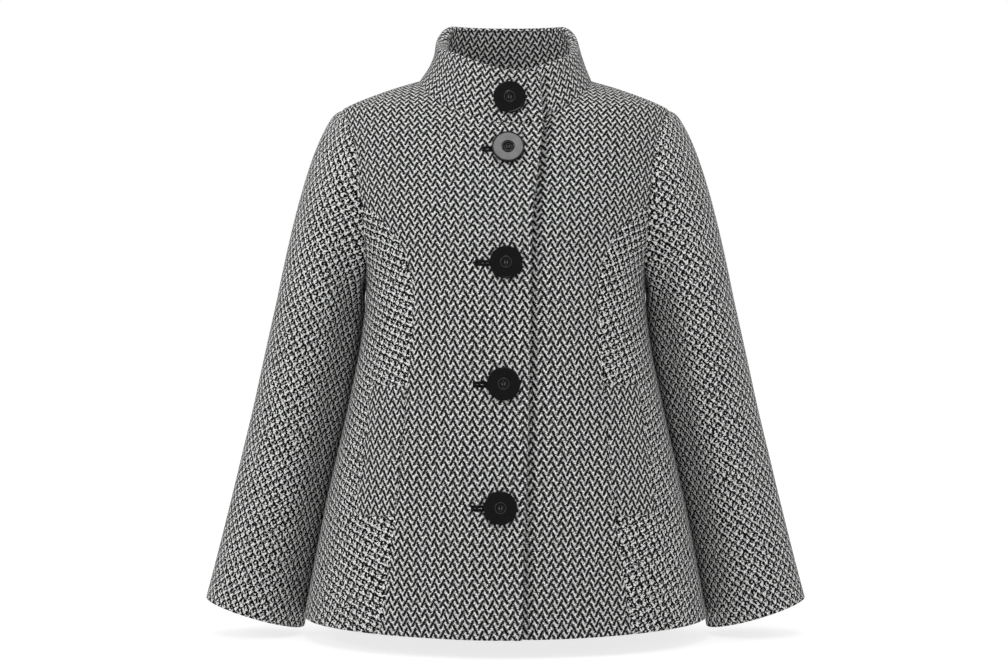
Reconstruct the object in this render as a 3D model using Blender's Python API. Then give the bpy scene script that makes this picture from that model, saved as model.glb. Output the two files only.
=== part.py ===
"""A short swing overcoat in chevron tweed, hollow, and filled out as when worn.

Each cut piece is a wall of cloth of its own. Front is -Y, up is +Z, the wearer's left is +X. The origin
is the middle of the neck, level with the inner ends of the shoulder seams. Sizes here are millimetres.
"""

from collections import namedtuple

import bmesh
import bpy
import numpy as np
from mathutils import Matrix

METRES = 0.001

# Walls of the cloth and of the collar's facing, and the gap left at every seam.
CLOTH = 2.4
FACING = 1.8
SEAM = 0.3

# Edges that turn by more degrees than this are shaded sharp, and lengths round the body are read this finely.
SHARP_EDGE = 50.0
FINE_STEPS = 200

# Heights of the coat's landmarks above the neck points, so most are negative.
HEM = -622.0
UNDERARM = -235.0
SHOULDER_END = -39.0
NECK_SIDE = -4.5
NECK_FRONT = -64.2
NECK_BACK = -10.0
PANEL_NOTCH = -150.0
HEM_SIDE_RISE = 4.0

# The body as a stack of level sections: half its width, and its depth before and behind the side seams.
Section = namedtuple("Section", "height half_width front_depth back_depth squareness")
BODY = (
    Section(-622, 232, 175, 163, 2.05),
    Section(-485, 205.5, 165, 147, 2.1),
    Section(-370, 179, 155, 133, 2.2),
    Section(-297, 165, 149, 125, 2.25),
    Section(-235, 160, 142, 121, 2.3),
    Section(-165, 176, 132, 119, 2.3),
    Section(-110, 186, 118, 116, 2.3),
    Section(-64, 190, 101, 109, 2.3),
    Section(-39, 188, 84, 99, 2.3),
    Section(-30, 173, 75, 94, 2.3),
    Section(-21, 150, 65, 88, 2.3),
    Section(-12, 124, 54, 79, 2.3),
    Section(-4, 98, 43, 62, 2.3),
    Section(0, 90, 40, 52, 2.3),
)

# Seams and edges, as distances from the middle of the coat in front view.
Line = namedtuple("Line", "height reach")
FRONT_EDGE = (
    Line(-622, 17.5),
    Line(-300, 26.5),
    Line(-170, 29.5),
    Line(-110, 36),
    Line(-64, 42),
)
PRINCESS_SEAM = (
    Line(-622, 137),
    Line(-490, 119.5),
    Line(-350, 107),
    Line(-270, 102),
    Line(-235, 103),
    Line(-205, 112),
    Line(-180, 127),
    Line(-160, 147),
    Line(-150, 160),
)
UNDERLAP = 30.0
NECK_HALF_WIDTH = 98.0
NECK_ROUNDNESS = 1.6

# The right front rises over the left one near the middle.
LAP_RISE = 4.4
LAP_STARTS = 78.0
LAP_FULL = 42.0

# The armhole is an oval in side view.
ARMHOLE_FRONT = 66.0
ARMHOLE_BACK = 72.0
ARMHOLE_SQUARENESS = 2.3
ARMHOLE_STEPS = 13

# How finely each panel is cut into flat facets; a back column count is for half the back.
BODY_STEPS = 11
CENTRE_COLUMNS = 15
SIDE_COLUMNS = 9
BACK_COLUMNS = 12
LAP_END_COLUMNS = 4

# Sleeve sections from the cuff to the upper arm: the centre, half sizes, and tilt towards the body.
Sleeve = namedtuple("Sleeve", "height out back half_width half_depth tilt")
SLEEVE = (
    Sleeve(-617.5, 290.9, 24, 59.5, 55, 16.7),
    Sleeve(-554, 277.1, 26, 56.8, 57, 14),
    Sleeve(-462, 256.2, 26, 54.9, 60, 12.5),
    Sleeve(-370, 234.6, 23, 54.9, 63, 12),
    Sleeve(-262, 213.2, 10, 51.1, 66, 11),
)
SLEEVE_RINGS = 10

# The sleeve's head: how far along it each ring lies, and how it leaves the armhole seam.
HEAD_STEPS = (0.0, 0.06, 0.15, 0.27, 0.4, 0.55, 0.7, 0.85)
HEAD_FULLNESS = 0.48
HEAD_SPREAD = 0.25
HEAD_DROP = 0.4
HEAD_TUCK = 0.25

# The collar's upper edge, by the angle round the neck from the side (0) to the front (90) and back (-90).
Rim = namedtuple("Rim", "angle rise_right rise_left")
COLLAR_EDGE = (
    Rim(-90, 66, 66),
    Rim(-35, 65, 65),
    Rim(0, 43, 42),
    Rim(45, 21, 15),
    Rim(90, -1.5, -4.5),
    Rim(130, -4.5, -6.5),
)
COLLAR_HALF_WIDTH = 81.0
COLLAR_FRONT = 86.0
COLLAR_BACK = 66.0
COLLAR_SQUARENESS = 2.5
COLLAR_CENTRE = -4.0
COLLAR_LEAN = 1.5
COLLAR_BOW_RIGHT = 4.0
COLLAR_BOW_LEFT = 0.5
COLLAR_STEPS = 5
FACING_FROM_FRONT = 62.0
FACING_ABOVE_SEAM = 0.2

WELT_TOP = -351.0
WELT_BOTTOM = -493.0
WELT_WIDTH = 56.0
WELT_FROM_SEAM = 1.0
WELT_POINTS = 7

Button = namedtuple("Button", "height out")
BUTTONS = (
    Button(-34, 4.4),
    Button(-92, 2.8),
    Button(-218, 0.5),
    Button(-349, -2.1),
    Button(-481.5, -5.3),
)
BUTTON_RADIUS = 18.0
BUTTON_THICKNESS = 4.6
BUTTON_EDGE = 1.3
BUTTON_WELL_RADIUS = 6.4
BUTTON_WELL_DEPTH = 1.5
BUTTON_SIDES = 28
BUTTON_EDGE_STEPS = 4


def clear_scene():
    for old in list(bpy.data.objects):
        bpy.data.objects.remove(old, do_unlink=True)


def column(rows, name, by="height"):
    """A smooth curve, without overshoot, through one column of a table, read by another."""
    at = np.array([getattr(row, by) for row in rows], float)
    value = np.array([getattr(row, name) for row in rows], float)
    step = np.diff(at)
    slope = np.diff(value) / step
    inside = (step[1:] * slope[:-1] + step[:-1] * slope[1:]) / (step[1:] + step[:-1])
    tangent = np.concatenate([slope[:1], inside, slope[-1:]])
    for i in range(1, len(at) - 1):
        if slope[i - 1] * slope[i] <= 0:
            tangent[i] = 0
        else:
            limit = 3 * min(abs(slope[i - 1]), abs(slope[i]))
            tangent[i] = np.sign(slope[i]) * min(abs(tangent[i]), limit)

    def read(place):
        place = np.clip(np.asarray(place, float), at[0], at[-1])
        i = np.clip(np.searchsorted(at, place, side="right") - 1, 0, len(step) - 1)
        t = (place - at[i]) / step[i]
        rise = t * t * (3 - 2 * t)
        lead = t * (1 - t) ** 2 * step[i] * tangent[i]
        trail = -t * t * (1 - t) * step[i] * tangent[i + 1]
        return value[i] + rise * (value[i + 1] - value[i]) + lead + trail

    return read


half_width = column(BODY, "half_width")
front_depth = column(BODY, "front_depth")
back_depth = column(BODY, "back_depth")
squareness = column(BODY, "squareness")
front_edge = column(FRONT_EDGE, "reach")
princess_seam = column(PRINCESS_SEAM, "reach")
collar_rise_right = column(COLLAR_EDGE, "rise_right", by="angle")
collar_rise_left = column(COLLAR_EDGE, "rise_left", by="angle")
sleeve_out = column(SLEEVE, "out")
sleeve_back = column(SLEEVE, "back")
sleeve_half_width = column(SLEEVE, "half_width")
sleeve_half_depth = column(SLEEVE, "half_depth")
sleeve_tilt = column(SLEEVE, "tilt")


def oval(angle, along, across, power):
    """Radius of a rounded oval at an angle from its first axis."""
    first = np.abs(np.cos(angle)) / along
    second = np.abs(np.sin(angle)) / across
    return (first**power + second**power) ** (-1 / power)


def body_point(side, angle, height):
    """A point of the body's outside: angle 0 is the side seam, +90 degrees the front, -90 the back."""
    angle, height = np.broadcast_arrays(np.asarray(angle, float), np.asarray(height, float))
    depth = np.where(np.sin(angle) > 0, front_depth(height), back_depth(height))
    radius = oval(angle, half_width(height), depth, squareness(height))
    return np.stack([side * radius * np.cos(angle), -radius * np.sin(angle), height], -1)


def body_normal(side, angle, height):
    turn = 0.002
    climb = 0.5
    across = body_point(side, angle + turn, height) - body_point(side, angle - turn, height)
    up = body_point(side, angle, height + climb) - body_point(side, angle, height - climb)
    normal = side * np.cross(up, across)
    return normal / np.linalg.norm(normal, axis=-1, keepdims=True)


def ramp(value, start, end):
    t = np.clip((value - start) / (end - start), 0, 1)
    return t * t * (3 - 2 * t)


def lapped_point(side, angle, height):
    """The body's outside, with the wearer's right front lifted where it lies over the left one."""
    point = body_point(side, angle, height)
    if side > 0:
        return point
    lift = LAP_RISE * ramp(point[..., 0], -LAP_STARTS, -LAP_FULL) * (np.sin(angle) > 0)
    return point + lift[..., None] * body_normal(side, angle, height)


SWEEP = np.radians(np.arange(0, 135.1, 0.25))


def angle_at_reach(height, reach):
    """The angle, on the front, at which the body is this far from the middle in front view."""
    found = body_point(1, SWEEP, height)[:, 0]
    return np.interp(-reach, -found, SWEEP)


def angle_at_depth(height, depth, facing):
    """The angle at which the body is this far before (facing 1) or behind (facing -1) the side seam."""
    quarter = SWEEP[SWEEP <= np.pi / 2]
    found = -facing * body_point(1, facing * quarter, height)[:, 1]
    return facing * np.interp(depth, found, quarter)


ARMHOLE_CENTRE = (SHOULDER_END + UNDERARM) / 2
ARMHOLE_HALF_HEIGHT = (SHOULDER_END - UNDERARM) / 2
ARMHOLE_TURNS = np.linspace(0, np.pi, ARMHOLE_STEPS + 1)
ARMHOLE_HEIGHTS = ARMHOLE_CENTRE + ARMHOLE_HALF_HEIGHT * np.cos(ARMHOLE_TURNS)


def armhole_angle(height, facing):
    """The angle of the armhole's front (facing 1) or back (facing -1) edge at a height, 0 outside it."""
    share = np.abs(height - ARMHOLE_CENTRE) / ARMHOLE_HALF_HEIGHT
    if share >= 1:
        return 0.0
    depth = ARMHOLE_FRONT if facing > 0 else ARMHOLE_BACK
    return angle_at_depth(height, depth * (1 - share**ARMHOLE_SQUARENESS) ** (1 / ARMHOLE_SQUARENESS), facing)


def neck_reach(height):
    """Half the width of the front neckline at a height."""
    fall = np.clip((NECK_SIDE - height) / (NECK_SIDE - NECK_FRONT), 0, 1)
    return NECK_HALF_WIDTH * (1 - fall**NECK_ROUNDNESS) ** (1 / NECK_ROUNDNESS)


BODY_HEIGHTS = np.linspace(HEM, UNDERARM, BODY_STEPS + 1)[:-1]
NECK_HEIGHTS = np.array([NECK_FRONT, -63.5, -60.5, -56.0])
SHOULDER_HEIGHTS = np.array([-34.0, -28.0, -21.0, -14.0, -8.0])
SIDE_HEIGHTS = np.unique(np.round(np.concatenate([BODY_HEIGHTS, ARMHOLE_HEIGHTS, [PANEL_NOTCH]]), 3))
PANEL_HEIGHTS = np.unique(np.concatenate([SIDE_HEIGHTS, NECK_HEIGHTS, SHOULDER_HEIGHTS, [NECK_SIDE]]))


def front_start(side, height):
    """The angle where a centre front begins: at its free edge, or higher up at the neckline."""
    if height > NECK_FRONT:
        return angle_at_reach(height, neck_reach(height))
    reach = front_edge(height) if side < 0 else UNDERLAP
    return angle_at_reach(height, -reach)


def princess_angle(height):
    return angle_at_reach(height, princess_seam(height))


def walk(side, height, start, end):
    """Closely spaced angles between two angles, and how far round the body's outside each one lies."""
    fine = np.linspace(start, end, FINE_STEPS)
    step = np.linalg.norm(np.diff(body_point(side, fine, height), axis=0), axis=1)
    return fine, np.concatenate([[0], np.cumsum(step)])


def spread(side, height, start, end, count):
    """Angles evenly spaced along the body's outside between two angles, half a seam in from each."""
    fine, length = walk(side, height, start, end)
    return np.interp(np.linspace(SEAM / 2, length[-1] - SEAM / 2, count), length, fine)


def lift_hem(level, angles):
    """Heights with the hem's own row raised towards the side seams."""
    return level + (level == HEM) * HEM_SIDE_RISE * np.cos(angles) ** 2


def panel(side, heights, start, end, count, place=body_point):
    """Points and outward directions of a panel that runs between two edges at each height."""
    angles = np.array([spread(side, h, start(h), end(h), count) for h in heights])
    level = lift_hem(np.repeat(heights[:, None], count, 1), angles)
    return place(side, angles, level), body_normal(side, angles, level)


def grid_normals(points, closed, outward_from):
    """Directions square to a grid of points, turned away from a point inside it for each row."""
    if closed:
        across = np.roll(points, -1, 1) - np.roll(points, 1, 1)
    else:
        across = np.gradient(points, axis=1)
    along = np.gradient(points, axis=0)
    normal = np.cross(along, across)
    normal /= np.linalg.norm(normal, axis=-1, keepdims=True)
    facing = np.sum(normal * (points - outward_from), -1).mean()
    return normal * np.sign(facing)


def finish(name, bm, material):
    bmesh.ops.recalc_face_normals(bm, faces=bm.faces)
    mesh = bpy.data.meshes.new(name)
    bm.to_mesh(mesh)
    bm.free()
    mesh.shade_smooth()
    mesh.set_sharp_from_angle(angle=np.radians(SHARP_EDGE))
    mesh.materials.append(material)
    made = bpy.data.objects.new(name, mesh)
    bpy.context.scene.collection.objects.link(made)
    made.parent = coat
    return made


def add_wall(name, outer, inner, material, closed=False):
    """A closed wall of cloth between two grids of points; closed joins the last column to the first."""
    rows, columns = outer.shape[:2]
    bm = bmesh.new()
    skins = [
        [[bm.verts.new(point * METRES) for point in row] for row in grid] for grid in (outer, inner)
    ]
    last = columns if closed else columns - 1
    for skin in skins:
        for i in range(rows - 1):
            for j in range(last):
                k = (j + 1) % columns
                bm.faces.new((skin[i][j], skin[i][k], skin[i + 1][k], skin[i + 1][j]))
    out, back = skins
    for i in (0, rows - 1):
        for j in range(last):
            k = (j + 1) % columns
            bm.faces.new((out[i][j], out[i][k], back[i][k], back[i][j]))
    for j in () if closed else (0, columns - 1):
        for i in range(rows - 1):
            bm.faces.new((out[i][j], out[i + 1][j], back[i + 1][j], back[i][j]))
    return finish(name, bm, material)


def principled(name, colour, roughness):
    material = bpy.data.materials.new(name)
    material.use_nodes = True
    shader = material.node_tree.nodes["Principled BSDF"]
    shader.inputs["Base Color"].default_value = (*colour, 1)
    shader.inputs["Roughness"].default_value = roughness
    shader.inputs["Metallic"].default_value = 0.0
    return material


def front_end(height):
    """The angle where a centre front ends: at the princess seam, or higher up at the armhole."""
    return princess_angle(height) if height <= PANEL_NOTCH else armhole_angle(height, 1)


def side_end(height):
    return armhole_angle(height, 1)


def add_fronts(side, word):
    """A centre front, from its free edge to the princess seam, and the side front beyond that seam."""

    def start(height):
        return front_start(side, height)

    points, normals = panel(side, PANEL_HEIGHTS, start, front_end, CENTRE_COLUMNS, lapped_point)
    add_wall(f"front_{word}", points, points - CLOTH * normals, tweed)
    low = SIDE_HEIGHTS[SIDE_HEIGHTS <= PANEL_NOTCH]
    points, normals = panel(side, low, princess_angle, side_end, SIDE_COLUMNS)
    add_wall(f"side_front_{word}", points, points - CLOTH * normals, tweed)


def add_back():
    """The back, in one piece from side seam to side seam and up to the neck."""
    heights = np.concatenate([SIDE_HEIGHTS, SHOULDER_HEIGHTS])
    angles = []
    for height in heights:
        half = spread(1, height, armhole_angle(height, -1), -np.pi / 2, BACK_COLUMNS)
        half[-1] = -np.pi / 2
        angles.append(half)
    angles.append(np.linspace(-SEAM / 2 / NECK_HALF_WIDTH, -np.pi / 2, BACK_COLUMNS))
    angles = np.array(angles)
    rows = np.append(heights, NECK_SIDE)[:, None]
    levels = lift_hem(np.repeat(rows, BACK_COLUMNS, 1), angles)
    share = np.clip((rows - SHOULDER_END) / (NECK_SIDE - SHOULDER_END), 0, 1)
    levels = levels + share * (back_neck_height(angles) - NECK_SIDE)
    halves = [(body_point(s, angles, levels), body_normal(s, angles, levels)) for s in (1, -1)]
    points = np.concatenate([halves[0][0], halves[1][0][:, -2::-1]], 1)
    normals = np.concatenate([halves[0][1], halves[1][1][:, -2::-1]], 1)
    add_wall("back", points, points - CLOTH * normals, tweed)


def back_neck_height(angle):
    return NECK_SIDE + (NECK_BACK - NECK_SIDE) * np.sin(angle) ** 2


def neckline(side):
    """Points of a front's neckline from its free end to the shoulder seam."""
    heights = PANEL_HEIGHTS[PANEL_HEIGHTS >= NECK_FRONT]
    angles = np.array([front_start(side, h) for h in heights])
    points = lapped_point(side, angles, heights)
    share = np.arange(LAP_END_COLUMNS)[:, None] / LAP_END_COLUMNS
    lead = points[0] + (points[1] - points[0]) * share
    return np.concatenate([lead, points[1:]])


def collar_grid():
    """Points of the collar from its left end, round the back, to its right end; row 0 is the neck seam."""
    back_angles = -np.linspace(SEAM / 2 / NECK_HALF_WIDTH, np.pi / 2, BACK_COLUMNS)
    back_half = [body_point(s, back_angles, back_neck_height(back_angles)) for s in (1, -1)]
    base = np.concatenate([neckline(1), back_half[0], back_half[1][-2::-1], neckline(-1)[::-1]])
    sides = np.where(np.arange(len(base)) < len(base) // 2, 1, -1)
    turn = np.arctan2(COLLAR_CENTRE - base[:, 1], sides * base[:, 0])
    depth = np.where(np.sin(turn) > 0, COLLAR_FRONT, COLLAR_BACK)
    radius = oval(turn, COLLAR_HALF_WIDTH, depth, COLLAR_SQUARENESS)
    lapped = (sides < 0) & (np.sin(turn) > 0)
    radius = radius + LAP_RISE * ramp(base[:, 0], -LAP_STARTS, -LAP_FULL) * lapped
    top = np.stack(
        [
            COLLAR_LEAN + sides * radius * np.cos(turn),
            COLLAR_CENTRE - radius * np.sin(turn),
            np.where(sides > 0, collar_rise_left(np.degrees(turn)), collar_rise_right(np.degrees(turn))),
        ],
        -1,
    )
    rise = (top - base) / np.linalg.norm(top - base, axis=1, keepdims=True)
    base = base + SEAM * rise
    share = np.linspace(0, 1, COLLAR_STEPS + 1)[:, None, None]
    inward = np.stack([-sides * np.cos(turn), np.sin(turn), np.zeros_like(turn)], -1)
    hollow = np.where(sides > 0, COLLAR_BOW_LEFT, COLLAR_BOW_RIGHT) * np.abs(np.cos(turn))
    bow = hollow[:, None] * np.sin(np.pi * share)
    return base + share * (top - base) + bow * inward, turn


def add_collar():
    """The collar's outer layer, and the facing inside it where the neck opening shows it."""
    points, turn = collar_grid()
    normals = grid_normals(points, False, points.mean(1, keepdims=True))
    inner = points - CLOTH * normals
    add_wall("collar", points, inner, tweed)
    shown = np.degrees(turn) < FACING_FROM_FRONT
    face = (inner - SEAM * normals)[:, shown]
    face[0] = face[0] + (face[1] - face[0]) * FACING_ABOVE_SEAM
    add_wall("collar_facing", face, face - FACING * normals[:, shown], tweed)
    return points, normals


def sleeve_ring(side, height, turns):
    """A sleeve's section: turn 0 is the outer side, and positive turns go by the front."""
    tilt = np.radians(sleeve_tilt(height))
    wide = oval(turns, sleeve_half_width(height), sleeve_half_depth(height), 2.0)
    across = wide * np.cos(turns)
    return np.stack(
        [
            side * (sleeve_out(height) + across * np.cos(tilt)),
            sleeve_back(height) - wide * np.sin(turns),
            height + across * np.sin(tilt),
        ],
        -1,
    )


def add_sleeve(side, word):
    """A sleeve: its head leaves the armhole outwards and turns down into a tube that flares to the cuff."""
    turns = np.concatenate([ARMHOLE_TURNS, -ARMHOLE_TURNS[-2:0:-1]])
    heights = ARMHOLE_CENTRE + ARMHOLE_HALF_HEIGHT * np.cos(turns)
    facing = np.where(turns >= 0, 1, -1)
    angles = np.array([armhole_angle(h, f) for h, f in zip(heights, facing)])
    seam = body_point(side, angles, heights)
    cuff, top = SLEEVE[0].height, SLEEVE[-1].height
    arm = sleeve_ring(side, top, turns)
    leave = np.stack(
        [
            np.full_like(turns, side),
            -HEAD_SPREAD * np.sin(turns),
            -HEAD_DROP - HEAD_TUCK * (1 - np.cos(turns)),
        ],
        -1,
    )
    leave /= np.linalg.norm(leave, axis=1, keepdims=True)
    tilt = np.radians(sleeve_tilt(top))
    down = np.array([side * np.sin(tilt), 0, -np.cos(tilt)])
    seam = seam + SEAM * leave
    reach = np.linalg.norm(arm - seam, axis=1, keepdims=True)
    rings = []
    for t in HEAD_STEPS:
        rise = t * t * (3 - 2 * t)
        lead = t * (1 - t) ** 2 * HEAD_FULLNESS * reach * leave
        trail = -t * t * (1 - t) * reach * down
        rings.append(seam + rise * (arm - seam) + lead + trail)
    for height in np.linspace(top, cuff, SLEEVE_RINGS):
        rings.append(sleeve_ring(side, height, turns))
    points = np.array(rings)
    normals = grid_normals(points, True, points.mean(1, keepdims=True))
    add_wall(f"sleeve_{word}", points, points - CLOTH * normals, tweed, closed=True)


def add_welt(side, word):
    """A pocket welt, laid on the side front along the princess seam."""
    heights = np.linspace(WELT_BOTTOM, WELT_TOP, WELT_POINTS)

    def start(height):
        return princess_angle(height) - WELT_FROM_SEAM / half_width(height)

    def end(height):
        fine, length = walk(side, height, start(height), 0)
        return np.interp(WELT_WIDTH, length, fine)

    points, normals = panel(side, heights, start, end, WELT_POINTS)
    below = points + SEAM * normals
    add_wall(f"welt_{word}", below + CLOTH * normals, below, tweed)


def add_button(number, seat, normal):
    """A turned button with a flat face, a rounded edge and a sunk middle, seated on the cloth."""
    edge = BUTTON_RADIUS
    top = BUTTON_THICKNESS
    profile = [(edge - BUTTON_EDGE, 0.0)]
    for turn in np.linspace(-np.pi / 4, np.pi / 2, BUTTON_EDGE_STEPS):
        profile.append(
            (
                edge - BUTTON_EDGE * (1 - np.cos(turn)),
                top - BUTTON_EDGE + BUTTON_EDGE * np.sin(turn),
            )
        )
    profile.append((BUTTON_WELL_RADIUS, top))
    profile.append((BUTTON_WELL_RADIUS - BUTTON_WELL_DEPTH, top - BUTTON_WELL_DEPTH))
    bm = bmesh.new()
    rings = []
    for radius, height in profile:
        ring = []
        for turn in np.linspace(0, 2 * np.pi, BUTTON_SIDES, endpoint=False):
            point = np.array([radius * np.cos(turn), radius * np.sin(turn), height])
            ring.append(bm.verts.new(point * METRES))
        rings.append(ring)
    for low, high in zip(rings, rings[1:]):
        for j in range(BUTTON_SIDES):
            k = (j + 1) % BUTTON_SIDES
            bm.faces.new((low[j], low[k], high[k], high[j]))
    bm.faces.new(rings[0][::-1])
    bm.faces.new(rings[-1])
    made = finish(f"button_{number}", bm, horn)
    up = np.array([0, 0, 1.0])
    right = np.cross(up, normal)
    right /= np.linalg.norm(right)
    turn = np.stack([right, np.cross(normal, right), normal], 1)
    made.rotation_mode = "QUATERNION"
    made.rotation_quaternion = Matrix(turn.tolist()).to_quaternion()
    made.location = (seat + SEAM * normal) * METRES


def collar_seat(points, normals, button):
    """The point of the collar's lapping end under a button, and the way it faces."""
    half = points.shape[1] // 2
    first = half + np.argmin(points[0, half:, 0])
    seats = []
    for row, facing in zip(points[:, first:], normals[:, first:]):
        both = np.concatenate([row, facing], 1)
        seats.append([np.interp(button.out, row[:, 0], value) for value in both.T])
    seats = np.array(seats)
    found = np.array([np.interp(button.height, seats[:, 2], value) for value in seats.T])
    return found[:3], found[3:] / np.linalg.norm(found[3:])


def add_buttons(collar_points, collar_normals):
    """One button high on the collar, the others down the lapping front."""
    for number, button in enumerate(BUTTONS, 1):
        if button.height > NECK_FRONT:
            seat, normal = collar_seat(collar_points, collar_normals, button)
        else:
            angle = angle_at_reach(button.height, -button.out)
            seat = lapped_point(-1, angle, button.height)
            normal = body_normal(-1, angle, button.height)
        add_button(number, seat, normal)


clear_scene()
coat = bpy.data.objects.new("coat", None)
bpy.context.scene.collection.objects.link(coat)
tweed = principled("Wool chevron tweed", (0.18, 0.18, 0.175), 0.9)
horn = principled("Black button", (0.012, 0.012, 0.013), 0.18)
add_back()
for side, word in ((-1, "right"), (1, "left")):
    add_fronts(side, word)
    add_sleeve(side, word)
    add_welt(side, word)
add_buttons(*add_collar())
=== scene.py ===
from collections import namedtuple

import bmesh
import bpy
import numpy as np
from mathutils import Matrix


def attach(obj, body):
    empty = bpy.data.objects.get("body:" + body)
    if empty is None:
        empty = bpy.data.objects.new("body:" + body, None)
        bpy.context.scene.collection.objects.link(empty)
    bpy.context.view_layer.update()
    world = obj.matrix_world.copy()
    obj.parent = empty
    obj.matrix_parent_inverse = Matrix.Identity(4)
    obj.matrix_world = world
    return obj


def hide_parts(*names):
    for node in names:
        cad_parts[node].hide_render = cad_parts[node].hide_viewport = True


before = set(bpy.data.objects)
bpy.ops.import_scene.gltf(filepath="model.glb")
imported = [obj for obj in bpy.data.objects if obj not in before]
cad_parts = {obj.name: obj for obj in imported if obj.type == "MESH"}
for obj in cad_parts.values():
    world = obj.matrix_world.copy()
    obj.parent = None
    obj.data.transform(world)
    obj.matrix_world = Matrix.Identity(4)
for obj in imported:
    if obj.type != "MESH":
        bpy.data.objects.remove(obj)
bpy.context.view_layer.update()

# Back: one cut piece of wool coating from side seam to side seam, joined to its neighbours by seams pressed
# open, with the hem turned up inside. The body is a stack of level ovals; sizes are millimetres.
MM = 0.001
CLOTH = 2.4
SEAM = 0.06
HEM = -622.0
UNDERARM = -235.0
SHOULDER_END = -39.0
NECK_SIDE = -4.5
NECK_FRONT = -64.2
NECK_BACK = -10.0
PANEL_NOTCH = -150.0
HEM_SIDE_RISE = 4.0
HEM_FADE = 70.0
HEM_TURN_UP = 38.0
HEM_EXTRA = 2.4
TURN_UP_FADE = 6.0
NECK_SEAM = 0.35
SHOULDER_RUN = 2.5

Section = namedtuple("Section", "height half_width front_depth back_depth squareness")
BODY = (
    Section(-622, 232, 175, 163, 2.05),
    Section(-485, 205.5, 165, 147, 2.1),
    Section(-370, 179, 155, 133, 2.2),
    Section(-297, 165, 149, 125, 2.25),
    Section(-235, 160, 142, 121, 2.3),
    Section(-165, 176, 132, 119, 2.3),
    Section(-110, 186, 118, 116, 2.3),
    Section(-64, 190, 101, 109, 2.3),
    Section(-39, 188, 84, 99, 2.3),
    Section(-30, 173, 75, 94, 2.3),
    Section(-21, 150, 65, 88, 2.3),
    Section(-12, 124, 54, 79, 2.3),
    Section(-4, 98, 43, 62, 2.3),
    Section(0, 90, 40, 52, 2.3),
)
ARMHOLE_FRONT = 66.0
ARMHOLE_BACK = 72.0
ARMHOLE_SQUARENESS = 2.3
ARMHOLE_CENTRE = (SHOULDER_END + UNDERARM) / 2
ARMHOLE_HALF_HEIGHT = (SHOULDER_END - UNDERARM) / 2


def eased(t, start, end, leave, arrive):
    """A smooth way from start to end, as t goes from 0 to 1, that leaves and arrives in given directions."""
    rise = t * t * (3 - 2 * t)
    return start + rise * (end - start) + t * (1 - t) ** 2 * leave - t * t * (1 - t) * arrive


def curve(at, value):
    """A smooth curve, without overshoot, through values at given places."""
    step = np.diff(at)
    slope = np.diff(value) / step
    inside = (step[1:] * slope[:-1] + step[:-1] * slope[1:]) / (step[1:] + step[:-1])
    tangent = np.concatenate([slope[:1], inside, slope[-1:]])
    for i in range(1, len(at) - 1):
        limit = 3 * min(abs(slope[i - 1]), abs(slope[i])) if slope[i - 1] * slope[i] > 0 else 0
        tangent[i] = np.sign(slope[i]) * min(abs(tangent[i]), limit)

    def read(place):
        place = np.clip(np.asarray(place, float), at[0], at[-1])
        i = np.clip(np.searchsorted(at, place, side="right") - 1, 0, len(step) - 1)
        t = (place - at[i]) / step[i]
        return eased(t, value[i], value[i + 1], step[i] * tangent[i], step[i] * tangent[i + 1])

    return read


def curves(rows):
    """A curve through each column of a table but the first, by which all are read."""
    at, *values = np.array(rows, float).T
    return [curve(at, value) for value in values]


half_width, front_depth, back_depth, squareness = curves(BODY)


def oval(angle, along, across, power):
    first = np.abs(np.cos(angle)) / along
    second = np.abs(np.sin(angle)) / across
    return (first**power + second**power) ** (-1 / power)


def body_point(side, angle, height):
    """A point of the body's outside: angle 0 is the side seam, +90 degrees the front, -90 the back."""
    angle, height = np.broadcast_arrays(np.asarray(angle, float), np.asarray(height, float))
    depth = np.where(np.sin(angle) > 0, front_depth(height), back_depth(height))
    radius = oval(angle, half_width(height), depth, squareness(height))
    return np.stack([side * radius * np.cos(angle), -radius * np.sin(angle), height], -1)


def unit(way):
    return way / np.linalg.norm(way, axis=-1, keepdims=True)


def body_normal(side, angle, height):
    turn = 0.002
    rise = 0.5
    across = body_point(side, angle + turn, height) - body_point(side, angle - turn, height)
    up = body_point(side, angle, height + rise) - body_point(side, angle, height - rise)
    return unit(side * np.cross(up, across))


SWEEP_END = 135.0
SWEEP_STEP = 0.25
SWEEP = np.radians(np.arange(-90, SWEEP_END + SWEEP_STEP / 2, SWEEP_STEP))
FRONT_SWEEP = SWEEP[SWEEP >= 0]
QUARTER = FRONT_SWEEP[FRONT_SWEEP <= np.pi / 2]


def armhole_angle(height, facing):
    """The angle of the armhole's front (facing 1) or back (facing -1) edge at a height, 0 outside it."""
    share = np.abs(height - ARMHOLE_CENTRE) / ARMHOLE_HALF_HEIGHT
    if share >= 1:
        return 0.0
    depth = ARMHOLE_FRONT if facing > 0 else ARMHOLE_BACK
    depth = depth * (1 - share**ARMHOLE_SQUARENESS) ** (1 / ARMHOLE_SQUARENESS)
    found = -facing * body_point(1, facing * QUARTER, height)[:, 1]
    return facing * np.interp(depth, found, QUARTER)


def lengths(points, axis=0):
    """How far along its line each point lies, for one line of points or for every line of a grid."""
    step = np.linalg.norm(np.diff(points, axis=axis), axis=-1)
    return np.concatenate([0 * np.take(step, [0], axis), np.cumsum(step, axis)], axis)


CLIMB_ROWS = 312
CLIMB_COLUMN_STEP = 8
CLIMB_HEIGHTS = np.linspace(HEM, 0, CLIMB_ROWS)
CLIMB_ANGLES = SWEEP[::CLIMB_COLUMN_STEP]
CLIMBED = lengths(body_point(1, CLIMB_ANGLES, CLIMB_HEIGHTS[:, None]))


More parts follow.
